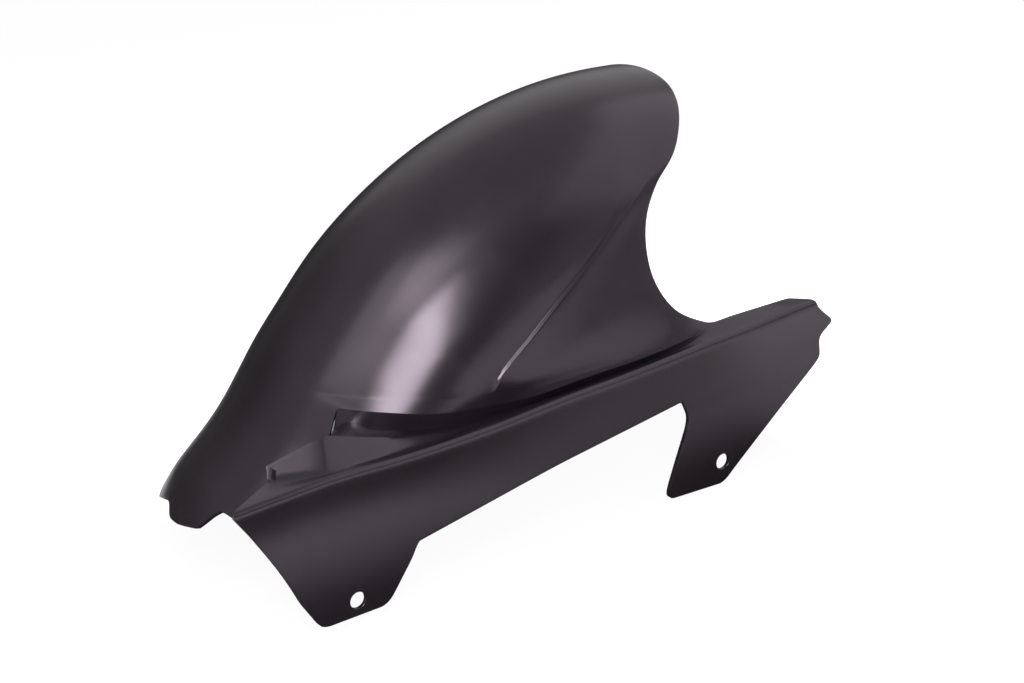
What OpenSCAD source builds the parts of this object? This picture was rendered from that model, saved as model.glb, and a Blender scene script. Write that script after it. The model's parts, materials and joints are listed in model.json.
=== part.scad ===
// Rear hugger mudguard of a motorcycle: tyre arch, side web and chain guard moulded as one shell.
// Millimetres. X runs rearward, Y to the right-hand side of the bike, Z up.
// The origin is the front mounting hole, on the outer face of its tab; the X axis runs through both holes.

/* [Sheet] */
// wall thickness of the moulding
sheet_t = 3; // [2:0.1:4]

/* [Tyre arch] */
// wheel axle, distance behind the front mounting hole
axle_x = 298.4; // [260:0.1:340]
// wheel axle, height from the mounting holes
axle_z = -80.2; // [-120:0.1:-40]
// outer radius of the crown about the wheel axle
crown_r = 344.6; // [320:0.1:370]
// middle plane of the tyre, from the tab face
mid_y = 115; // [90:0.5:140]
// half the outer width of the arch
half_w = 98.7; // [80:0.1:120]
// height of the rounded part of the arch
arch_h = 81.4; // [60:0.1:100]
// depth of straight side wall for each degree of section past a right angle
wall_step = 1.5; // [1:0.1:3]
// wheel angle at which the side lip leaves the front edge
lip_th = 34.8; // [30:0.1:40]
// wheel angle of the lower end of the web crease
apex_th = 46.5; // [40:0.1:55]

/* [Web] */
// height of the step along the web crease
crease_step = 1.8; // [0:0.1:3]
// outward turn of the lower edge of the web
hem = 2; // [0:0.1:4]

/* [Chain guard] */
// outer face of the ridge, from the tab face
ridge_y = -11; // [-16:0.5:-4]
// outer radius of the ridge
ridge_r = 4; // [3.5:0.1:8]
// depth below the ridge at which the skirt reaches the tab face, at the front
joggle = 40; // [30:1:60]
// the same depth at the rear tab
joggle_rear = 75; // [40:1:90]
// hollow of the front edge of the skirt
front_bow = 3.6; // [0:0.1:6]

/* [Mounting] */
// distance between the two mounting holes
hole_gap = 307; // [250:0.5:350]
// radius of the mounting holes
hole_r = 5.75; // [3:0.05:8]
// width of the slot in the raised side of the ledge
slot_w = 3.2; // [2:0.1:4]
// length of the slot
slot_l = 7.7; // [5:0.1:9]
// distance of the slot ahead of the front mounting hole
slot_x = 45; // [42:0.1:46]
// height of the slot centre from the mounting holes
slot_z = 98.4; // [98:0.1:100]
// slope of the slot from the X axis
slot_turn = 53; // [45:1:90]

/* [Hidden] */
$fn = 48;
eps = 0.01;

// rows along the bike: front to lip corner, to web apex, to the end of the web, to the tail
row_n = [10, 10, 17, 10];
row_end = [10, 20, 37, 47];
// columns: arch, web, riser, inner ledge, ledge, ridge, skirt, tabs
col_end = [0, 28, 37, 39, 41, 45, 48, 56, 63];
// last row of the front tab, first row of the rear tab
tab_row = [14, 34];
// station at which the front slit ends
slit_s = 1;
// cut depth of the slot, through the raised side alone
slot_y = [9.5, 24];

// each key line below lists [where, value]
// growth of the crown radius towards the front lip, by wheel angle
flare = [[12, 44.1], [16, 36.5], [20, 28.3], [24, 15], [28, 6], [32, 2.1], [37, 0.4], [43, -1.2], [50, 0],
    [60, 0]];
// wheel angle of the front edge, by section angle
front_th = [[-37, 19.5], [-31, 19.9], [-17, 20.3], [-12, 18.1], [-10, 17.7], [1, 17.1], [5, 17.1], [9, 17.1],
    [11, 17.6], [15, 18.3], [19, 18.1], [33, 17.2], [40, 17.6], [62, 22], [70, 25]];
// wheel angle of the rear edge, by section angle
rear_th = [[0, 95.8], [20, 95.4], [33, 94.2], [42, 92.8], [49, 91.4], [58, 89.3], [62, 87.9], [66, 86.2],
    [75, 82], [98, 67]];
// section angle of the web crease, of the side lip and of the far edge, by station
crease_e = [[2, -93.5], [2.28, -94.3], [2.44, -93.9], [2.6, -92.1], [2.73, -89.5], [2.82, -86], [2.88, -74],
    [2.94, -61.5], [3, -61.5]];
lip_e = [[0, -38.5], [0.6, -38.5], [0.8, -40], [1, -37.5], [1.25, -52.5], [1.55, -77], [2, -107]];
far_e = [[0, 42], [0.5, 58], [1, 70], [1.5, 86], [2, 98], [2.6, 98], [3, 84]];
// lower edge of the web, by station
web_low = [[2, arch(apex_th, lip_e[len(lip_e) - 1][1])], [2.3, [159, 11.5, 93.4]], [2.55, [193, 7.5, 96.5]],
    [2.8, [237, 3.5, 98.6]], [2.9, [269, 1.2, 101.2]], [2.95, [288, 1, 104]], [3, [297.5, 5.5, 107.9]]];
// bow of the rear cut-out edge of the web from the straight line between crease and guard
end_bow = [[0, [0, 0, 0]], [0.045, [-13.9, -1.8, -4.4]], [0.12, [-19.9, -1.6, -2.1]],
    [0.24, [-29.1, -0.8, -0.3]], [0.38, [-35.2, -0.6, -0.2]], [0.51, [-37.7, -1.5, -2]],
    [0.62, [-37.8, -3.2, -3]], [0.7, [-34.2, -3.1, -5]], [0.78, [-26.7, -3, -7.9]],
    [0.86, [-16.6, -1.2, -6.8]], [0.93, [-8.1, -0.1, -4.2]], [1, [0, 0, 0]]];
// spacing of the web columns below the web apex, and how the crease step and the hem fade
web_w = [[0, 0], [1, 0.045], [2, 0.12], [3, 0.24], [4, 0.38], [5, 0.51], [6, 0.64], [7, 0.78], [8, 0.89],
    [9, 1]];
step_s = [[2, 0], [2.06, 0.9], [2.5, 1], [2.75, 0.7], [2.9, 0.6], [3, 0]];
step_w = [[0, 0], [0.045, 1], [0.82, 0], [1, 0]];
hem_s = [[2, 0], [2.3, 1], [2.8, 1], [3, 0]];
// foot of the riser from the lip above it, by station
foot_d = [[0.8, [0, -9, -2]], [1, [-5.3, -0.5, -14]], [1.1, [0, -3, -4]], [1.2, [-2, 1, -13]],
    [1.5, [0, 2.5, -11.5]],
    [2, [0, 2.5, -7]], [2.55, [0, 2.5, -7]], [2.8, [0, 1.5, -5]], [2.92, [0, -0.6, -2.5]],
    [3, [2.5, -1, -0.6]]];
// inner edge of the guard ledge: plan position and height, by station
ledge_xy = [[0, [-46.1, 18.4]], [0.9, [-7.6, 11.6]], [1, [-3, 11.5]], [1.3, [38, 11]], [1.6, [77, 9]],
    [2, [122, 6]], [2.55, [189, 1]], [2.8, [235, -2.5]], [2.93, [280, -3]], [3, [304.5, 3.4]],
    [3.15, [318, 3.4]], [3.6, [348, 3.4]], [4, [373, 3.4]]];
ledge_z = [[0, 102.6], [0.75, 112.1], [0.9, 113.3], [1, 112.2], [1.2, 102.5], [1.3, 98.4], [1.45, 93.3],
    [1.7, 90.2], [2, 90], [2.55, 93], [2.8, 95.5], [2.93, 100.2], [3, 106.9], [3.15, 107.4], [4, 106.4]];
// fold between the raised side of the ledge and its flat, from the middle of inner edge and ridge
fold_d = [[0, [15.7, 6.3, -3.1]], [0.9, [-9.3, -5.9, -8.9]], [1.3, [-2.5, -2.5, -4]], [1.8, [0, 0, 0]]];
// ridge of the guard: position by station, height by position
ridge_x = [[0, -83.8], [1, 5], [2, 117], [3, 296], [4, 386]];
ridge_z = [[-90, 93.5], [-50, 94.8], [-14, 95.6], [33, 93.4], [71, 92.8], [110, 93.4], [139, 94.9],
    [171, 96.4], [218, 97.2], [276, 99.8], [335, 102.2], [373, 104.5], [400, 105.5]];
// lower edge of the skirt between front edge, tabs and tail, and the edge of the tail
skirt_low = [[-40.7, 11.9], [49, 25.6], [97, 33.3], [163.4, 44.1], [268.8, 58.7], [396.2, 71.2]];
tail_x = [[0, 387], [0.25, 395.5], [0.5, 404.5], [0.625, 408.3], [0.75, 404], [1, 396.2]];
// tab columns, and the front and rear sides of both tabs, whose ends lie round the holes
tab_v = [[0, 0], [1, 0.125], [2, 0.25], [3, 0.5], [4, 0.75], [5, 0.9], [6, 0.96], [7, 1]];
front_tab = [[[0, [-40.7, 11.9]], [0.9, [-29.6, -7]], [0.96, [-27.3, -9.4]], [1, [-22.5, -10.5]]],
    [[0, [49, 25.6]], [0.125, [45.9, 22]], [0.25, [43.6, 16.9]], [0.9, [26.4, -5.4]], [0.96, [22.8, -9]],
    [1, [18, -10.8]]]];
rear_tab = [[[0, [268.8, 58.7]], [0.25, [277.3, 41.6]], [0.9, [hole_gap - 49.8, -6]],
    [0.96, [hole_gap - 50.6, -11.3]], [1, [hole_gap - 47.5, -13.9]]],
    [[0, [396.2, 71.2]], [0.125, [400.6, 56.6]], [0.25, [398.6, 52.5]],
    [0.9, [hole_gap + 8.7, -9.9]], [0.96, [hole_gap + 4.5, -13.8]], [1, [hole_gap - 1.3, -16.5]]]];

function clamp(v, lo, hi) = min(max(v, lo), hi);
function mix(a, b, f) = a * (1 - f) + b * f;
function ease(f) = let (g = clamp(f, 0, 1)) g * g * (3 - 2 * g);
function seg(k, x, i = 0) = i < len(k) - 2 && x >= k[i + 1][0] ? seg(k, x, i + 1) : i;
function part_of(k, i, x) = clamp((x - k[i][0]) / (k[i + 1][0] - k[i][0]), 0, 1);
// straight and smooth readings of a key line
function lin(k, x) = let (i = seg(k, x)) mix(k[i][1], k[i + 1][1], part_of(k, i, x));
function slope(k, a, b) = (k[b][1] - k[a][1]) / (k[b][0] - k[a][0]);
function curve(k, x) = let (i = seg(k, x), f = part_of(k, i, x), h = k[i + 1][0] - k[i][0],
    m0 = slope(k, max(i - 1, 0), i + 1), m1 = slope(k, i, min(i + 2, len(k) - 1)))
    (2 * f * f * f - 3 * f * f + 1) * k[i][1] + (f * f * f - 2 * f * f + f) * h * m0
    + (3 * f * f - 2 * f * f * f) * k[i + 1][1] + (f * f * f - f * f) * h * m1;

// point of the tyre arch at wheel angle th and section angle e
function arch(th, e) = let (t = clamp(e, -90, 90), q = max(abs(e) - 90, 0) * wall_step,
    r = crown_r + curve(flare, th) - arch_h * (1 - cos(t)) - q)
    [axle_x - cos(th) * r, mid_y + half_w * sin(t), axle_z + sin(th) * r];
function wheel_th(s, e) = s <= 1 ? mix(lin(front_th, e), lip_th, s)
    : s <= 2 ? lip_th + (apex_th - lip_th) * pow(s - 1, 1.5)
    : mix(apex_th, curve(rear_th, abs(e)), s - 2);
function edge_e(s) = s <= 2 ? curve(lip_e, s) + 16 - 6 * max(s - 1, 0) : lin(crease_e, s);
function crease(s) = arch(wheel_th(s, edge_e(s)), edge_e(s));
function lip(s) = s <= 2 ? let (e = curve(lip_e, s)) arch(wheel_th(s, e), e) : curve(web_low, s);
function foot(s) = lip(s) + lin(foot_d, s);
// web: on the arch ahead of its apex, then a blend of crease, lower edge and cut-out edge
function web(s, w) = s <= 2
    ? let (e = mix(edge_e(s), curve(lip_e, s), w)) arch(wheel_th(s, e), e)
    : mix(crease(s), lip(s), w) + curve(end_bow, w) * pow(s - 2, 2)
    - [0, crease_step * lin(step_s, s) * lin(step_w, w) + hem * lin(hem_s, s) * ease((w - 0.8) / 0.2), 0];
function web_part(s, u) = mix(u / 9, lin(web_w, u), ease((s - 2) / 0.2));

// chain guard
function ledge(s) = let (p = lin(ledge_xy, s)) [p[0], p[1], lin(ledge_z, s)];
function ridge(s) = let (x = lin(ridge_x, s)) [x, ridge_y + ridge_r, curve(ridge_z, x)];
function ridge_out(s, a) = let (p = ridge(s), dx = 2 * max(s - 3, 0) - 2.5 * (1 - min(s, 1)))
    p + [dx * sin(a), -ridge_r * sin(a), -ridge_r * (1 - cos(a))];
function ledge_part(s, f) = let (fold = mix(ledge(s), ridge(s), 0.5) + lin(fold_d, s))
    f <= 0.5 ? mix(ledge(s), fold, 2 * f) : mix(fold, ridge(s), 2 * f - 1);
function skirt_y(x, z) = let (depth = mix(joggle, joggle_rear, ease(x / hole_gap * 1.14)) - ridge_r)
    ridge_y * pow(1 - clamp((curve(ridge_z, x) - z - ridge_r) / depth, 0, 1), 2);
function low_x(i) = i <= tab_row[0] ? mix(skirt_low[0][0], skirt_low[1][0], i / tab_row[0])
    : i <= tab_row[1] ? mix(skirt_low[1][0], skirt_low[4][0], (i - tab_row[0]) / (tab_row[1] - tab_row[0]))
    : mix(skirt_low[4][0], skirt_low[5][0], (i - tab_row[1]) / (row_end[3] - tab_row[1]));
function skirt(i, s, v) = let (a = ridge_out(s, 90), b = low_x(i), a3 = ridge_out(3, 90),
    b3 = low_x(row_end[2]), x = s > 3 ? mix(mix(a3[0], b3, v), lin(tail_x, v), s - 3)
        : mix(a[0], b, v) + front_bow * pow(max(1 - s, 0), 2) * 4 * v * (1 - v),
    z = mix(a[2], lin(skirt_low, b), v)) [x, skirt_y(x, z), z];
function tab_side(sides, v, f) = let (p = mix(lin(sides[0], v), lin(sides[1], v), f))
    [p[0], skirt_y(p[0], p[1]), p[1]];
function tab(i, v) = i <= tab_row[0] ? tab_side(front_tab, v, i / tab_row[0])
    : tab_side(rear_tab, v, clamp((i - tab_row[1]) / (row_end[3] - tab_row[1]), 0, 1));

// node grid of the outer face
function station(i) = i <= row_end[0] ? i / row_n[0] : i <= row_end[1] ? 1 + (i - row_end[0]) / row_n[1]
    : i <= row_end[2] ? 2 + (i - row_end[1]) / row_n[2] : 3 + (i - row_end[2]) / row_n[3];
function col_part(j, c) = (j - col_end[c]) / (col_end[c + 1] - col_end[c]);
function arch_at(s, f) = let (e = mix(lin(far_e, s), edge_e(s), f)) arch(wheel_th(s, e), e);
function at(i, j, s, m) = j <= col_end[1] ? arch_at(m, col_part(j, 0))
    : j <= col_end[2] ? web(m, web_part(m, j - col_end[1]))
    : j <= col_end[3] ? mix(web(max(m, slit_s), 1), foot(max(m, slit_s)), col_part(j, 2))
    : j <= col_end[4] ? mix(foot(max(m, slit_s)), ledge(s), col_part(j, 3))
    : j <= col_end[5] ? ledge_part(s, col_part(j, 4))
    : j <= col_end[6] ? ridge_out(s, 90 * col_part(j, 5))
    : j <= col_end[7] ? skirt(i, s, col_part(j, 6))
    : tab(i, lin(tab_v, j - col_end[7]));
last_i = row_end[3];
last_j = col_end[8];
outer = [for (i = [0:last_i]) [for (j = [0:last_j]) at(i, j, station(i), min(station(i), 3))]];

// cells that exist: the arch ends at the web, the slit parts arch and guard, the tabs hang from the skirt
function cell(i, j) = i < 0 || j < 0 || i >= last_i || j >= last_j ? false
    : j < col_end[2] ? i < row_end[2]
    : j < col_end[4] ? i >= slit_s * row_n[0] - eps && i < row_end[2]
    : j < col_end[7] ? true : i < tab_row[0] || i >= tab_row[1];
function unit(v) = norm(v) > 0 ? v / norm(v) : v;
facing = [for (i = [0:last_i - 1]) [for (j = [0:last_j - 1]) cell(i, j)
    ? unit(cross(outer[i][j + 1] - outer[i + 1][j], outer[i + 1][j + 1] - outer[i][j])) : [0, 0, 0]]];
function face_at(i, j) = i < 0 || j < 0 || i >= last_i || j >= last_j ? [0, 0, 0] : facing[i][j];
inner = [for (i = [0:last_i]) [for (j = [0:last_j]) outer[i][j]
    - sheet_t * unit(face_at(i, j) + face_at(i - 1, j) + face_at(i, j - 1) + face_at(i - 1, j - 1))]];

function id(i, j) = i * (last_j + 1) + j;
skin = (last_i + 1) * (last_j + 1);
function rim(a, b) = [[a, b + skin, b], [a, a + skin, b + skin]];
cell_faces = [for (i = [0:last_i - 1]) for (j = [0:last_j - 1]) if (cell(i, j))
    let (a = id(i, j), b = id(i + 1, j), c = id(i + 1, j + 1), d = id(i, j + 1))
    each [[a, b, c], [a, c, d], [a + skin, c + skin, b + skin], [a + skin, d + skin, c + skin],
        each cell(i, j - 1) ? [] : rim(a, b), each cell(i + 1, j) ? [] : rim(b, c),
        each cell(i, j + 1) ? [] : rim(c, d), each cell(i - 1, j) ? [] : rim(d, a)]];
shell_points = concat([for (r = outer) each r], [for (r = inner) each r]);

// round cutter along Y from y0 to y1
module across(x, z, r, y0, y1) {
    translate([x, y1, z]) rotate([90, 0, 0]) cylinder(r = r, h = y1 - y0);
}

module mudguard() {
    color("#26242a") difference() {
        polyhedron(points = shell_points, faces = cell_faces, convexity = 12);
        for (x = [0, hole_gap]) across(x, 0, hole_r, -5, 10);
        translate([-slot_x, 0, slot_z]) rotate([0, -slot_turn, 0]) {
            for (k = [-0.5, 0.5]) across(k * (slot_l - slot_w), 0, slot_w / 2, slot_y[0], slot_y[1]);
            translate([-(slot_l - slot_w) / 2, slot_y[0], -slot_w / 2])
                cube([slot_l - slot_w, slot_y[1] - slot_y[0], slot_w]);
        }
    }
}

mudguard();
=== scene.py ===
import json
from math import cos, pi, radians, sin, tan

import bpy
from mathutils import Matrix, Vector


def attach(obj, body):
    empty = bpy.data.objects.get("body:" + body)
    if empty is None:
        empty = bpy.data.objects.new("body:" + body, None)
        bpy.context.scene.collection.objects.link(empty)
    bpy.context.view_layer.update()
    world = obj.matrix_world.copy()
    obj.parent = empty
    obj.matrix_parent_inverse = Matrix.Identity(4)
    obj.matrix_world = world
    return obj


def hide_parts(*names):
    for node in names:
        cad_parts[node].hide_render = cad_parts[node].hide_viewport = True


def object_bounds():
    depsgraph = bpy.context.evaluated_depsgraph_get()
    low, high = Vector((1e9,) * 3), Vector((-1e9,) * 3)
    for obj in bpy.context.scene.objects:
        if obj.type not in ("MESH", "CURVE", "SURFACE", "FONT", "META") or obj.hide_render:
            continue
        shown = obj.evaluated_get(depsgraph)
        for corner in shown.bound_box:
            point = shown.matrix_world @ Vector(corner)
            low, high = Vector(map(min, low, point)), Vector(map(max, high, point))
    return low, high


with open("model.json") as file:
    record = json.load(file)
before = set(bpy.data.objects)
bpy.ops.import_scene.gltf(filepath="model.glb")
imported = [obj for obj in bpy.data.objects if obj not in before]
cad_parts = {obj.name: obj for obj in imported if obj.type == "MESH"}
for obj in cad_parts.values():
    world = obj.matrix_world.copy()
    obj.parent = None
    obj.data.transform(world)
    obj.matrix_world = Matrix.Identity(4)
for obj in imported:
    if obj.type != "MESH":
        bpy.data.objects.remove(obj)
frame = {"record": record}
cad_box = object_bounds()
MM = 0.001

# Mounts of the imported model
mounts = {m["name"]: m for m in frame["record"]["mounts"]}
HOLE_R = mounts["front_hole"]["dims"]["r_mm"]
HOLE_GAP = (mounts["rear_hole"]["pos_m"][0] - mounts["front_hole"]["pos_m"][0]) / MM

# Sheet and its roundings, in millimetres, and the angle in degrees past which a fold is shaded sharp
SHEET_T = 3.0
EDGE_ROUND, LIP_ROUND, ROUND_STEPS = 0.9, 1.8, 3
SHARP_ANGLE = 32.0

# Tyre arch
AXLE_X, AXLE_Z = 298.4, -80.2
CROWN_R, MID_Y, HALF_W, ARCH_H = 344.6, 115.0, 98.7, 81.4
WALL_STEP = 1.5
LIP_TH, APEX_TH = 34.8, 46.5

# Section angle between the side lip and the near edge of the arch, and its fall past the first station
LIP_BAND, LIP_BAND_FALL = 16.0, 6.0

# Web and chain guard
CREASE_STEP, HEM, HEM_START = 1.8, 2.0, 0.8
RIDGE_Y, RIDGE_R, JOGGLE, JOGGLE_REAR, FRONT_BOW = -11.0, 4.0, 40.0, 75.0, 3.6
JOGGLE_END = HOLE_GAP / 1.14
FRONT_LEAN, TAIL_LEAN = 2.5, 2.0

# Rounding of the hole edges, and how far the cutters of the holes stand clear of the sheet's faces
HOLE_ROUND, HOLE_CLEAR = 0.5, 0.04

# Slot in the raised side of the ledge: place and height, slope, width, length and cut depth
SLOT_X, SLOT_Z, SLOT_TURN = -45.0, 98.4, 53.0
SLOT_W, SLOT_L, SLOT_Y = 3.2, 7.7, (9.5, 24.0)

# Rows along the bike and columns across the sheet: arch, web, riser, inner ledge, ledge, ridge, skirt, tabs
ROW_END = (10, 20, 37, 47)
COL_END = (0, 28, 37, 39, 41, 45, 48, 56, 63)
FRONT_TAB_END, REAR_TAB_START = 14, 34
SLIT_S = 1.0
SUBDIVISIONS = 2

# Columns of the front edge that end in a sharp corner
LIP_CORNERS = (11, 16, 23, 26, COL_END[4], COL_END[4] + 2)

# Camera: the photograph's viewing angle, roll, focal length, distance and aim
VIEW_AZ, VIEW_EL, VIEW_ROLL = -35.0, 22.0, -3.0
FOCAL_MM, SENSOR_MM = 74.5, 36.0
VIEW_DIST, VIEW_AIM = 1.437, Vector((0.1697, 0.0575, 0.1133))

# Lamps: distance from the point they face, in metres
LAMP_DIST, LAMP_AIM = 1.6, Vector((0.16, 0.08, 0.12))

# Studio in reflections: strengths of its light, and the azimuth of the dark gap beside the key lamp
STUDIO_DIFFUSE, STUDIO_GLOSSY, STUDIO_DARK, STUDIO_BEHIND = 0.25, 0.66, 0.02, 0.18
DARK_AZ = -86.0

# Floor, in metres: half its side, depth under the part, centre and half sides of its patch of painted shade
# under the part
FLOOR_HALF, FLOOR_DROP = 6.0, 0.0005
SHADE_PATCH_AT, SHADE_PATCH_HALF = (0.16, 0.09), (0.2, 0.1)
# Floor colours: the painted shade under the part, the plain floor, the painted shade behind the part, and the
# glow the camera sees
PAINTED_SHADE_TONE, FLOOR_SHADE, PAINTED_REAR_SHADE, FLOOR_GLOW = 0.06, 0.95, 0.12, 0.94


def v(*c):
    return Vector(c)


# Key lines: each holds (where, value)
FLARE = [(12, 44.1), (16, 36.5), (20, 28.3), (24, 15), (28, 6), (32, 2.1), (37, 0.4), (43, -1.2), (50, 0),
         (60, 0)]
FRONT_TH = [(-37, 19.5), (-31, 19.9), (-17, 20.3), (-12, 18.1), (-10, 17.7), (1, 17.1), (9, 17.1), (11, 17.6),
            (15, 18.3), (19, 18.1), (33, 17.2), (40, 17.6), (62, 22), (70, 25)]
REAR_TH = [(0, 95.8), (20, 95.4), (33, 94.2), (42, 92.8), (49, 91.4), (58, 89.3), (62, 87.9), (66, 86.2),
           (75, 82), (98, 67)]
CREASE_E = [(2, -93.5), (2.28, -94.3), (2.44, -93.9), (2.6, -92.1), (2.73, -89.5), (2.82, -86),
            (2.88, -74), (2.94, -61.5), (3, -61.5)]
LIP_E = [(0, -38.5), (0.6, -38.5), (0.8, -40), (1, -37.5), (1.25, -52.5), (1.55, -77), (2, -107)]
FAR_E = [(0, 42), (0.5, 58), (1, 70), (1.5, 86), (2, 98), (2.6, 98), (3, 84)]
END_BOW = [(0, v(0, 0, 0)), (0.045, v(-13.9, -1.8, -4.4)), (0.12, v(-19.9, -1.6, -2.1)),
           (0.24, v(-29.1, -0.8, -0.3)), (0.38, v(-35.2, -0.6, -0.2)), (0.51, v(-37.7, -1.5, -2)),
           (0.62, v(-37.8, -3.2, -3)), (0.7, v(-34.2, -3.1, -5)), (0.78, v(-26.7, -3, -7.9)),
           (0.86, v(-16.6, -1.2, -6.8)), (0.93, v(-8.1, -0.1, -4.2)), (1, v(0, 0, 0))]
WEB_W = [(0, 0), (1, 0.045), (2, 0.12), (3, 0.24), (4, 0.38), (5, 0.51), (6, 0.64), (7, 0.78), (8, 0.89),
         (9, 1)]
STEP_S = [(2, 0), (2.06, 0.9), (2.5, 1), (2.75, 0.7), (2.9, 0.6), (3, 0)]
STEP_W = [(0, 0), (0.045, 1), (0.82, 0), (1, 0)]
HEM_S = [(2, 0), (2.3, 1), (2.8, 1), (3, 0)]
FOOT_D = [(0.8, v(0, -9, -2)), (1, v(-5.3, -0.5, -14)), (1.1, v(0, -3, -4)), (1.2, v(-2, 1, -13)),
          (1.5, v(0, 2.5, -11.5)), (2, v(0, 2.5, -7)), (2.55, v(0, 2.5, -7)), (2.8, v(0, 1.5, -5)),
          (2.92, v(0, -0.6, -2.5)), (3, v(2.5, -1, -0.6))]
LEDGE_XY = [(0, v(-46.1, 18.4)), (0.9, v(-7.6, 11.6)), (1, v(-3, 11.5)), (1.3, v(38, 11)), (1.6, v(77, 9)),
            (2, v(122, 6)), (2.55, v(189, 1)), (2.8, v(235, -2.5)), (2.93, v(280, -3)), (3, v(304.5, 3.4)),
            (3.15, v(318, 3.4)), (3.6, v(348, 3.4)), (4, v(373, 3.4))]
LEDGE_Z = [(0, 102.6), (0.75, 112.1), (0.9, 113.3), (1, 112.2), (1.2, 102.5), (1.3, 98.4), (1.45, 93.3),
           (1.7, 90.2), (2, 90), (2.55, 93), (2.8, 95.5), (2.93, 100.2), (3, 106.9), (3.15, 107.4),
           (4, 106.4)]
FOLD_D = [(0, v(15.7, 6.3, -3.1)), (0.9, v(-9.3, -5.9, -8.9)), (1.3, v(-2.5, -2.5, -4)), (1.8, v(0, 0, 0))]
RIDGE_X = [(0, -83.8), (1, 5), (2, 117), (3, 296), (4, 386)]
RIDGE_Z = [(-90, 93.5), (-50, 94.8), (-14, 95.6), (33, 93.4), (71, 92.8), (110, 93.4), (139, 94.9),
           (171, 96.4), (218, 97.2), (276, 99.8), (335, 102.2), (373, 104.5), (400, 105.5)]
SKIRT_LOW = [(-40.7, 11.9), (49, 25.6), (97, 33.3), (163.4, 44.1), (268.8, 58.7), (396.2, 71.2)]
TAIL_X = [(0, 387), (0.25, 395.5), (0.5, 404.5), (0.625, 408.3), (0.75, 404), (1, 396.2)]
TAB_V = [(0, 0), (1, 0.125), (2, 0.25), (3, 0.5), (4, 0.75), (5, 0.9), (6, 0.96), (7, 1)]
FRONT_TAB = ([(0, v(-40.7, 11.9)), (0.9, v(-29.6, -7)), (0.96, v(-27.3, -9.4)), (1, v(-22.5, -10.5))],
             [(0, v(49, 25.6)), (0.125, v(45.9, 22)), (0.25, v(43.6, 16.9)), (0.9, v(26.4, -5.4)),
              (0.96, v(22.8, -9)), (1, v(18, -10.8))])
REAR_TAB = ([(0, v(268.8, 58.7)), (0.25, v(277.3, 41.6)), (0.9, v(HOLE_GAP - 49.8, -6)),
             (0.96, v(HOLE_GAP - 50.6, -11.3)), (1, v(HOLE_GAP - 47.5, -13.9))],
            [(0, v(396.2, 71.2)), (0.125, v(400.6, 56.6)), (0.25, v(398.6, 52.5)),
             (0.9, v(HOLE_GAP + 8.7, -9.9)), (0.96, v(HOLE_GAP + 4.5, -13.8)), (1, v(HOLE_GAP - 1.3, -16.5))])


def clamp(x, lo, hi):
    return min(max(x, lo), hi)


def mix(a, b, f):
    return a * (1 - f) + b * f


def ease(f):
    g = clamp(f, 0, 1)
    return g * g * (3 - 2 * g)


def segment(keys, x):
    i = 0
    while i < len(keys) - 2 and x >= keys[i + 1][0]:
        i += 1
    return i, clamp((x - keys[i][0]) / (keys[i + 1][0] - keys[i][0]), 0, 1)


def lin(keys, x):
    """Straight reading of a key line."""
    i, f = segment(keys, x)
    return mix(keys[i][1], keys[i + 1][1], f)


def curve(keys, x):
    """Smooth reading of a key line."""
    i, f = segment(keys, x)
    last = len(keys) - 1

    def slope(a, b):
        return (keys[b][1] - keys[a][1]) / (keys[b][0] - keys[a][0])

    h = keys[i + 1][0] - keys[i][0]
    m0, m1 = slope(max(i - 1, 0), i + 1) * h, slope(i, min(i + 2, last)) * h
    f2, f3 = f * f, f * f * f
    return ((2 * f3 - 3 * f2 + 1) * keys[i][1] + (f3 - 2 * f2 + f) * m0
            + (3 * f2 - 2 * f3) * keys[i + 1][1] + (f3 - f2) * m1)


def arch(th, e):
    """Point of the tyre arch at wheel angle th and section angle e, in degrees."""
    t, q = radians(clamp(e, -90, 90)), max(abs(e) - 90, 0) * WALL_STEP
    r = CROWN_R + curve(FLARE, th) - ARCH_H * (1 - cos(t)) - q
    return v(AXLE_X - cos(radians(th)) * r, MID_Y + HALF_W * sin(t), AXLE_Z + sin(radians(th)) * r)


def wheel_th(s, e):
    if s <= 1:
        return mix(lin(FRONT_TH, e), LIP_TH, s)
    if s <= 2:
        return LIP_TH + (APEX_TH - LIP_TH) * (s - 1) ** 1.5
    return mix(APEX_TH, curve(REAR_TH, abs(e)), s - 2)


def edge_e(s):
    if s > 2:
        return lin(CREASE_E, s)
    return curve(LIP_E, s) + LIP_BAND - LIP_BAND_FALL * max(s - 1, 0)


def crease(s):
    return arch(wheel_th(s, edge_e(s)), edge_e(s))


WEB_LOW = [(2, arch(APEX_TH, LIP_E[-1][1])), (2.3, v(159, 11.5, 93.4)), (2.55, v(193, 7.5, 96.5)),
           (2.8, v(237, 3.5, 98.6)), (2.9, v(269, 1.2, 101.2)), (2.95, v(288, 1, 104)),
           (3, v(297.5, 5.5, 107.9))]


def lip(s):
    if s > 2:
        return curve(WEB_LOW, s)
    e = curve(LIP_E, s)
    return arch(wheel_th(s, e), e)


def foot(s):
    return lip(s) + lin(FOOT_D, s)


def web(s, w):
    """Web: on the arch ahead of its apex, then a blend of crease, lower edge and cut-out edge."""
    if s <= 2:
        e = mix(edge_e(s), curve(LIP_E, s), w)
        return arch(wheel_th(s, e), e)
    step = CREASE_STEP * lin(STEP_S, s) * lin(STEP_W, w)
    hem = HEM * lin(HEM_S, s) * ease((w - HEM_START) / (1 - HEM_START))
    return mix(crease(s), lip(s), w) + curve(END_BOW, w) * (s - 2) ** 2 - v(0, step + hem, 0)


def web_part(s, u):
    return mix(u / WEB_W[-1][0], lin(WEB_W, u), ease((s - 2) / 0.2))


def ledge(s):
    p = lin(LEDGE_XY, s)
    return v(p.x, p.y, lin(LEDGE_Z, s))


def ridge(s):
    x = lin(RIDGE_X, s)
    return v(x, RIDGE_Y + RIDGE_R, curve(RIDGE_Z, x))


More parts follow.
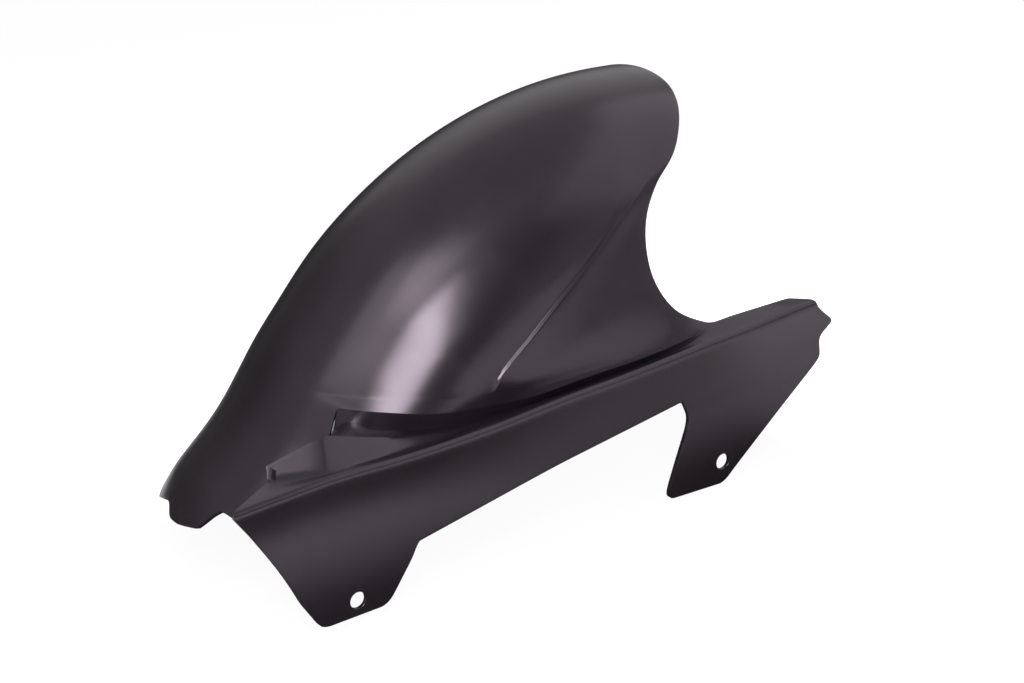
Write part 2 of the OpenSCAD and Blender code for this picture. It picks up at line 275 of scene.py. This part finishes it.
def ridge_out(s, a):
    dx = TAIL_LEAN * max(s - 3, 0) - FRONT_LEAN * (1 - min(s, 1))
    c, n = cos(radians(a)), sin(radians(a))
    return ridge(s) + v(dx * n, -RIDGE_R * n, -RIDGE_R * (1 - c))


def ledge_part(s, f):
    fold = mix(ledge(s), ridge(s), 0.5) + lin(FOLD_D, s)
    return mix(ledge(s), fold, 2 * f) if f <= 0.5 else mix(fold, ridge(s), 2 * f - 1)


def skirt_y(x, z):
    depth = mix(JOGGLE, JOGGLE_REAR, ease(x / JOGGLE_END)) - RIDGE_R
    return RIDGE_Y * (1 - clamp((curve(RIDGE_Z, x) - z - RIDGE_R) / depth, 0, 1)) ** 2


def low_x(i):
    a, b, last = FRONT_TAB_END, REAR_TAB_START, ROW_END[3]
    x = [SKIRT_LOW[k][0] for k in (0, 1, 4, 5)]
    if i <= a:
        return mix(x[0], x[1], i / a)
    return mix(x[1], x[2], (i - a) / (b - a)) if i <= b else mix(x[2], x[3], (i - b) / (last - b))


def skirt(i, s, f):
    a, b = ridge_out(s, 90), low_x(i)
    if s > 3:
        x = mix(mix(ridge_out(3, 90).x, low_x(ROW_END[2]), f), lin(TAIL_X, f), s - 3)
    else:
        x = mix(a.x, b, f) + FRONT_BOW * max(1 - s, 0) ** 2 * 4 * f * (1 - f)
    z = mix(a.z, lin(SKIRT_LOW, b), f)
    return v(x, skirt_y(x, z), z)


def tab(i, f):
    if i <= FRONT_TAB_END:
        sides, g = FRONT_TAB, i / FRONT_TAB_END
    else:
        sides, g = REAR_TAB, clamp((i - REAR_TAB_START) / (ROW_END[3] - REAR_TAB_START), 0, 1)
    p = mix(lin(sides[0], f), lin(sides[1], f), g)
    return v(p.x, skirt_y(p.x, p.y), p.y)


def station(i):
    starts = (0,) + ROW_END[:3]
    for k in range(4):
        if i <= ROW_END[k]:
            return k + (i - starts[k]) / (ROW_END[k] - starts[k])


def column_part(j, c):
    return (j - COL_END[c]) / (COL_END[c + 1] - COL_END[c])


def node_at(i, j):
    """Point of the outer face at row i, column j."""
    s = station(i)
    m, r = min(s, 3), max(min(s, 3), SLIT_S)
    if j <= COL_END[1]:
        e = mix(lin(FAR_E, m), edge_e(m), column_part(j, 0))
        return arch(wheel_th(m, e), e)
    if j <= COL_END[2]:
        return web(m, web_part(m, j - COL_END[1]))
    if j <= COL_END[3]:
        return mix(web(r, 1), foot(r), column_part(j, 2))
    if j <= COL_END[4]:
        return mix(foot(r), ledge(s), column_part(j, 3))
    if j <= COL_END[5]:
        return ledge_part(s, column_part(j, 4))
    if j <= COL_END[6]:
        return ridge_out(s, 90 * column_part(j, 5))
    if j <= COL_END[7]:
        return skirt(i, s, column_part(j, 6))
    return tab(i, lin(TAB_V, j - COL_END[7]))


def cell(i, j):
    """True where the sheet has a cell: the slit parts arch and guard, the tabs hang from the skirt."""
    if not (0 <= i < ROW_END[3] and 0 <= j < COL_END[8]):
        return False
    if j < COL_END[2]:
        return i < ROW_END[2]
    if j < COL_END[4]:
        return round(SLIT_S * ROW_END[0]) <= i < ROW_END[2]
    return j < COL_END[7] or i < FRONT_TAB_END or i >= REAR_TAB_START


def offset_nodes(outer, rows, cols):
    """Inner face: each node moved in by the sheet thickness along the mean normal of its cells."""
    normal = [[v(0, 0, 0) for _ in range(cols)] for _ in range(rows)]
    for i in range(rows - 1):
        for j in range(cols - 1):
            if cell(i, j):
                n = (outer[i][j + 1] - outer[i + 1][j]).cross(outer[i + 1][j + 1] - outer[i][j]).normalized()
                for a, b in ((i, j), (i + 1, j), (i, j + 1), (i + 1, j + 1)):
                    normal[a][b] += n
    return [[outer[i][j] - SHEET_T * normal[i][j].normalized() for j in range(cols)] for i in range(rows)]


def line_marks(i, j):
    """Crease and rounding of the sheet's own fold lines, for the edge from row i to i + 1 on column j."""
    s = station(i + 0.5)
    if j == COL_END[2]:
        fade = clamp((3 - s) / 0.2, 0, 1)
        return fade, fade * LIP_ROUND
    if j == COL_END[3]:
        return clamp((3 - s) / 0.2, 0, 1), 0
    if j == COL_END[4] and s < 1.7:
        return clamp((1.7 - s) / 0.4, 0, 1), 0
    if j == COL_END[4] + 2 and s < 0.9:
        return 0.15 * (1 - s / 0.9), 0
    if j in (COL_END[1], COL_END[1] + 1) and 2 < s < 3:
        return (0.9 if j == COL_END[1] else 0.4) * clamp((3 - s) / 0.15, 0, 1), 0
    return 0, 0


def sharp_corner(i, j):
    at_tab = i in (FRONT_TAB_END, REAR_TAB_START) and j == COL_END[7]
    return at_tab or (i == 0 and j in LIP_CORNERS)


def shell_mesh(name):
    """Closed shell on the node grid, with creases and rounding widths marked on its edges."""
    rows, cols = ROW_END[3] + 1, COL_END[8] + 1
    outer = [[node_at(i, j) for j in range(cols)] for i in range(rows)]
    inner = offset_nodes(outer, rows, cols)
    ids, points, faces, marks, corners = {}, [], [], {}, []

    def vid(i, j, side):
        if (i, j, side) not in ids:
            ids[i, j, side] = len(points)
            corners.append(float(sharp_corner(i, j)))
            points.append((inner if side else outer)[i][j] * MM)
        return ids[i, j, side]

    for i in range(rows - 1):
        for j in range(cols - 1):
            if not cell(i, j):
                continue
            ring = [(i, j), (i + 1, j), (i + 1, j + 1), (i, j + 1)]
            faces.append([vid(*p, 0) for p in reversed(ring)])
            faces.append([vid(*p, 1) for p in ring])
            beside = ((i, j - 1), (i + 1, j), (i, j + 1), (i - 1, j))
            for k in range(4):
                p, q = ring[k], ring[(k + 1) % 4]
                if not cell(*beside[k]):
                    faces.append([vid(*p, 0), vid(*q, 0), vid(*q, 1), vid(*p, 1)])
                    for side in (0, 1):
                        marks[frozenset((vid(*p, side), vid(*q, side)))] = (1, EDGE_ROUND)
            for side in (0, 1):
                key = frozenset((vid(i, j, side), vid(i + 1, j, side)))
                if key not in marks and max(line_marks(i, j)) > 0:
                    marks[key] = line_marks(i, j)
    mesh = bpy.data.meshes.new(name)
    mesh.from_pydata(points, [], faces)
    creases = mesh.attributes.new("crease_edge", "FLOAT", "EDGE")
    widths = mesh.attributes.new("bevel_weight_edge", "FLOAT", "EDGE")
    mesh.attributes.new("crease_vert", "FLOAT", "POINT").data.foreach_set("value", corners)
    for edge in mesh.edges:
        mark = marks.get(frozenset(edge.vertices))
        if mark:
            creases.data[edge.index].value = mark[0]
            widths.data[edge.index].value = mark[1] / LIP_ROUND
    mesh.validate()
    return mesh


def apply_modifiers(obj):
    bpy.context.view_layer.update()
    done = bpy.data.meshes.new_from_object(obj.evaluated_get(bpy.context.evaluated_depsgraph_get()))
    obj.modifiers.clear()
    obj.data = done


def link(name, mesh):
    obj = bpy.data.objects.new(name, mesh)
    bpy.context.scene.collection.objects.link(obj)
    return obj


def lathe_along_y(name, profile, sides=64):
    """Closed solid of revolution about the Y axis from (radius, y) points."""
    points, faces, n = [], [], len(profile)
    for k in range(sides):
        a = radians(360 * k / sides)
        points += [v(r * cos(a), y, r * sin(a)) * MM for r, y in profile]
    for k in range(sides):
        a, b = k * n, (k + 1) % sides * n
        faces += [[a + m, a + m + 1, b + m + 1, b + m] for m in range(n - 1)]
    faces.append([k * n for k in range(sides)])
    faces.append([k * n + n - 1 for k in reversed(range(sides))])
    mesh = bpy.data.meshes.new(name)
    mesh.from_pydata(points, [], faces)
    return mesh


def hole_profile(r, y0, y1, edge, reach=4.0, steps=4):
    """Outline of a cutter whose hole has rounded edges where it meets the faces at y0 and y1."""
    arc = [(r + edge * (1 - sin(radians(90 * k / steps))), edge * (1 - cos(radians(90 * k / steps))))
           for k in range(steps + 1)]
    near = [(r + edge, y0 - reach)] + [(a, y0 + b) for a, b in arc]
    far = [(a, y1 - b) for a, b in reversed(arc)] + [(r + edge, y1 + reach)]
    return near + far


def slot_mesh(name):
    """Cutter of the slot: a stadium outline pushed through the raised side along Y."""
    r, h, n = SLOT_W / 2, (SLOT_L - SLOT_W) / 2, 12
    ring = [(r * cos(radians(a)) + (h if a < 90 else -h), r * sin(radians(a)))
            for a in [-90 + 180 * k / n for k in range(n)] + [90 + 180 * k / n for k in range(n)]]
    points = [v(x, y, z) * MM for y in SLOT_Y for x, z in ring]
    m = len(ring)
    faces = [[k, k + m, (k + 1) % m + m, (k + 1) % m] for k in range(m)]
    faces += [list(range(m)), [k + m for k in reversed(range(m))]]
    mesh = bpy.data.meshes.new(name)
    mesh.from_pydata(points, [], faces)
    slope = Matrix.Rotation(radians(-SLOT_TURN), 4, "Y")
    mesh.transform(Matrix.Translation(v(SLOT_X, 0, SLOT_Z) * MM) @ slope)
    return mesh


def cut(obj, mesh):
    cutter = link("cutter", mesh)
    mod = obj.modifiers.new("cut", "BOOLEAN")
    mod.object, mod.operation, mod.solver = cutter, "DIFFERENCE", "EXACT"
    apply_modifiers(obj)
    bpy.data.objects.remove(cutter)


def make_mudguard():
    obj = link("mudguard_shell", shell_mesh("mudguard_shell"))
    smooth = obj.modifiers.new("smooth", "SUBSURF")
    smooth.levels = smooth.render_levels = SUBDIVISIONS
    edges = obj.modifiers.new("edges", "BEVEL")
    edges.limit_method, edges.offset_type = "WEIGHT", "OFFSET"
    edges.width, edges.segments = LIP_ROUND * MM, ROUND_STEPS
    edges.use_clamp_overlap = True
    apply_modifiers(obj)
    for x in (0.0, HOLE_GAP):
        hole = lathe_along_y("hole", hole_profile(HOLE_R, -HOLE_CLEAR, SHEET_T + HOLE_CLEAR, HOLE_ROUND))
        hole.transform(Matrix.Translation((x * MM, 0, 0)))
        cut(obj, hole)
    cut(obj, slot_mesh("slot"))
    obj.data.shade_smooth()
    obj.data.set_sharp_from_angle(angle=radians(SHARP_ANGLE))
    return obj


def node_tree(name):
    mat = bpy.data.materials.new(name)
    mat.use_nodes = True
    return mat, mat.node_tree, mat.node_tree.nodes["Principled BSDF"]


def noise(tree, coords, scale, detail):
    n = tree.nodes.new("ShaderNodeTexNoise")
    n.inputs["Scale"].default_value = scale
    n.inputs["Detail"].default_value = detail
    tree.links.new(coords, n.inputs["Vector"])
    return n.outputs["Fac"]


def ramp(tree, value, low, high):
    """Maps the middle of a noise onto a range of colours or numbers."""
    r = tree.nodes.new("ShaderNodeMapRange")
    r.inputs["From Min"].default_value, r.inputs["From Max"].default_value = 0.3, 0.7
    r.inputs["To Min"].default_value, r.inputs["To Max"].default_value = low, high
    tree.links.new(value, r.inputs["Value"])
    return r.outputs["Result"]


def satin_black():
    """Injection-moulded black ABS: a fine even grain with soft changes of tone and gloss."""
    mat, tree, bsdf = node_tree("satin_black_abs")
    coords = tree.nodes.new("ShaderNodeTexCoord").outputs["Object"]
    tone = tree.nodes.new("ShaderNodeMix")
    tone.data_type = "RGBA"
    tone.inputs["A"].default_value = (0.0095, 0.0075, 0.0095, 1)
    tone.inputs["B"].default_value = (0.0125, 0.0100, 0.0125, 1)
    tree.links.new(ramp(tree, noise(tree, coords, 22.0, 3.0), 0.0, 1.0), tone.inputs["Factor"])
    tree.links.new(tone.outputs["Result"], bsdf.inputs["Base Color"])
    tree.links.new(ramp(tree, noise(tree, coords, 60.0, 4.0), 0.22, 0.26), bsdf.inputs["Roughness"])
    bump = tree.nodes.new("ShaderNodeBump")
    bump.inputs["Strength"].default_value = 0.04
    bump.inputs["Distance"].default_value = 0.00006
    tree.links.new(noise(tree, coords, 1600.0, 2.0), bump.inputs["Height"])
    tree.links.new(bump.outputs["Normal"], bsdf.inputs["Normal"])
    bsdf.inputs["IOR"].default_value = 1.5
    bsdf.inputs["Specular Tint"].default_value = (1.0, 0.84, 0.99, 1)
    return mat


def view_axes(azimuth, elevation, roll):
    """Right, up and back of a camera that looks at the object from an azimuth and elevation."""
    a, e, r = radians(azimuth), radians(elevation), radians(roll)
    back = v(sin(a) * cos(e), -cos(a) * cos(e), sin(e))
    right = v(cos(a), sin(a), 0)
    up = back.cross(right)
    return right * cos(r) + up * sin(r), up * cos(r) - right * sin(r), back


def make_camera():
    right, up, back = view_axes(VIEW_AZ, VIEW_EL, VIEW_ROLL)
    data = bpy.data.cameras.new("camera")
    data.lens, data.sensor_width, data.sensor_fit = FOCAL_MM, SENSOR_MM, "HORIZONTAL"
    cam = bpy.data.objects.new("camera", data)
    bpy.context.scene.collection.objects.link(cam)
    turn = Matrix((right, up, back)).transposed().to_4x4()
    cam.matrix_world = Matrix.Translation(VIEW_AIM + back * VIEW_DIST) @ turn
    bpy.context.scene.camera = cam


def toward(azimuth, elevation):
    a, e = radians(azimuth), radians(elevation)
    return v(cos(a) * cos(e), sin(a) * cos(e), sin(e))


def softbox(name, centre, tip, spread, radiance):
    """Rectangular lamp of even radiance around the direction centre, its first side toward the tip."""
    z = centre.normalized()
    x = (tip - z * tip.dot(z)).normalized()
    size = [2 * LAMP_DIST * tan(radians(s)) for s in spread]
    data = bpy.data.lights.new(name, "AREA")
    data.shape, data.size, data.size_y = "RECTANGLE", *size
    data.energy = radiance * pi * size[0] * size[1]
    lamp = bpy.data.objects.new(name, data)
    bpy.context.scene.collection.objects.link(lamp)
    turn = Matrix((x, z.cross(x), z)).transposed().to_4x4()
    lamp.matrix_world = Matrix.Translation(LAMP_AIM + z * LAMP_DIST) @ turn
    lamp.visible_camera = False


def make_lights():
    softbox("key_softbox", toward(-123, 30), toward(-138, 52), (18.5, 9.8), 15.5)
    softbox("upper_softbox", toward(-150, 58), toward(-120, 52), (12, 11), 3.2)
    softbox("side_softbox", toward(-171, 50), toward(-171, 80), (15, 16), 2.05)
    softbox("fill_softbox", toward(-22, 42), toward(-22, 80), (26, 34), 0.75)
    softbox("back_softbox", toward(62, 30), toward(62, 80), (18, 24), 0.22)


def math_node(tree, operation, a, b=None):
    n = tree.nodes.new("ShaderNodeMath")
    n.operation = operation
    for socket, value in zip(n.inputs, (a, b)):
        if isinstance(value, (int, float)):
            socket.default_value = value
        elif value is not None:
            tree.links.new(value, socket)
    return n.outputs["Value"]


def vector_node(tree, operation, a, b=None):
    n = tree.nodes.new("ShaderNodeVectorMath")
    n.operation = operation
    tree.links.new(a, n.inputs[0])
    if b is not None:
        n.inputs[1].default_value = b
    return n.outputs["Value" if operation in ("DOT_PRODUCT", "LENGTH") else "Vector"]


def smooth_node(tree, value, start, end):
    """Rises smoothly from 0 at start to 1 at end."""
    n = tree.nodes.new("ShaderNodeMapRange")
    n.interpolation_type = "SMOOTHSTEP"
    n.inputs["From Min"].default_value, n.inputs["From Max"].default_value = start, end
    tree.links.new(value, n.inputs["Value"])
    return n.outputs["Result"]


def mix_node(tree, factor, a, b):
    n = tree.nodes.new("ShaderNodeMix")
    for socket, value in ((n.inputs["Factor"], factor), (n.inputs["A"], a), (n.inputs["B"], b)):
        if isinstance(value, (int, float)):
            socket.default_value = value
        else:
            tree.links.new(value, socket)
    return n.outputs["Result"]


def near_way(tree, way, centre, start, end):
    """1 around a direction, falling to 0 where the cosine of the angle from it drops from end to start."""
    return smooth_node(tree, vector_node(tree, "DOT_PRODUCT", way, centre), start, end)


def make_world():
    """White behind the part for the camera; in reflections pale, with a dark upright gap and a dim back."""
    world = bpy.data.worlds.new("studio")
    bpy.context.scene.world = world
    world.use_nodes = True
    tree = world.node_tree
    tree.nodes.clear()
    path = tree.nodes.new("ShaderNodeLightPath")
    way = tree.nodes.new("ShaderNodeTexCoord").outputs["Generated"]
    across = math_node(tree, "ABSOLUTE", vector_node(tree, "DOT_PRODUCT", way, toward(DARK_AZ + 90, 0)))
    side = smooth_node(tree, across, 0.32, 0.12)
    ahead = near_way(tree, way, toward(DARK_AZ, 12), 0.55, 0.8)
    gap = math_node(tree, "MULTIPLY", side, ahead)
    behind = near_way(tree, way, toward(112, -5), 0.6, 0.98)
    low = near_way(tree, way, toward(75, -15), 0.75, 0.95)
    away = math_node(tree, "MAXIMUM", behind, low)
    pale = mix_node(tree, away, STUDIO_GLOSSY, STUDIO_BEHIND * STUDIO_GLOSSY)
    shiny = mix_node(tree, gap, pale, STUDIO_DARK)
    strength = mix_node(tree, path.outputs["Is Glossy Ray"], STUDIO_DIFFUSE, shiny)
    seen = mix_node(tree, path.outputs["Is Camera Ray"], strength, 1.0)
    back = tree.nodes.new("ShaderNodeBackground")
    tree.links.new(seen, back.inputs["Strength"])
    out = tree.nodes.new("ShaderNodeOutputWorld")
    tree.links.new(back.outputs["Background"], out.inputs["Surface"])


def make_floor(height):
    """Pale floor with painted shade: its colour is darkened under and behind the part, so that it shows dark
    in reflections.
    """
    mesh = bpy.data.meshes.new("floor")
    h = FLOOR_HALF
    corners = [(-h, -h), (h, -h), (h, h), (-h, h)]
    mesh.from_pydata([(x, y, height) for x, y in corners], [], [(0, 1, 2, 3)])
    floor = link("floor", mesh)
    mat, tree, bsdf = node_tree("pale_floor_painted_shade")
    bsdf.inputs["Roughness"].default_value = 0.9
    bsdf.inputs["Specular IOR Level"].default_value = 0.0
    place = tree.nodes.new("ShaderNodeNewGeometry").outputs["Position"]
    # Painted shade: the floor's colour drops to a dark tone in a patch under the part, standing in for its
    # contact shadow.
    offset = vector_node(tree, "ABSOLUTE", vector_node(tree, "SUBTRACT", place, (*SHADE_PATCH_AT, height)))
    beyond = vector_node(tree, "SUBTRACT", offset, (*SHADE_PATCH_HALF, 0))
    reach = vector_node(tree, "LENGTH", vector_node(tree, "MAXIMUM", beyond, (0, 0, 0)))
    shade = mix_node(tree, smooth_node(tree, reach, 0.02, 0.11), PAINTED_SHADE_TONE, FLOOR_SHADE)
    # Painted shade: the floor's colour darkens behind the part, so that the part shows dark reflections
    # there.
    rear_painted_shade = smooth_node(tree, vector_node(tree, "DOT_PRODUCT", place, (0, 1, 0)), 0.3, 0.7)
    shade = mix_node(tree, rear_painted_shade, shade, PAINTED_REAR_SHADE)
    tree.links.new(shade, bsdf.inputs["Base Color"])
    path = tree.nodes.new("ShaderNodeLightPath")
    bsdf.inputs["Emission Color"].default_value = (1, 1, 1, 1)
    glow = math_node(tree, "MULTIPLY", path.outputs["Is Camera Ray"], FLOOR_GLOW)
    tree.links.new(glow, bsdf.inputs["Emission Strength"])
    mesh.materials.append(mat)


make_camera()
guard = make_mudguard()
guard.data.materials.clear()
guard.data.materials.append(satin_black())
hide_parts("mudguard")
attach(guard, "root")
make_lights()
make_world()
make_floor(cad_box[0][2] - FLOOR_DROP)
bpy.context.scene.view_settings.view_transform = "Standard"
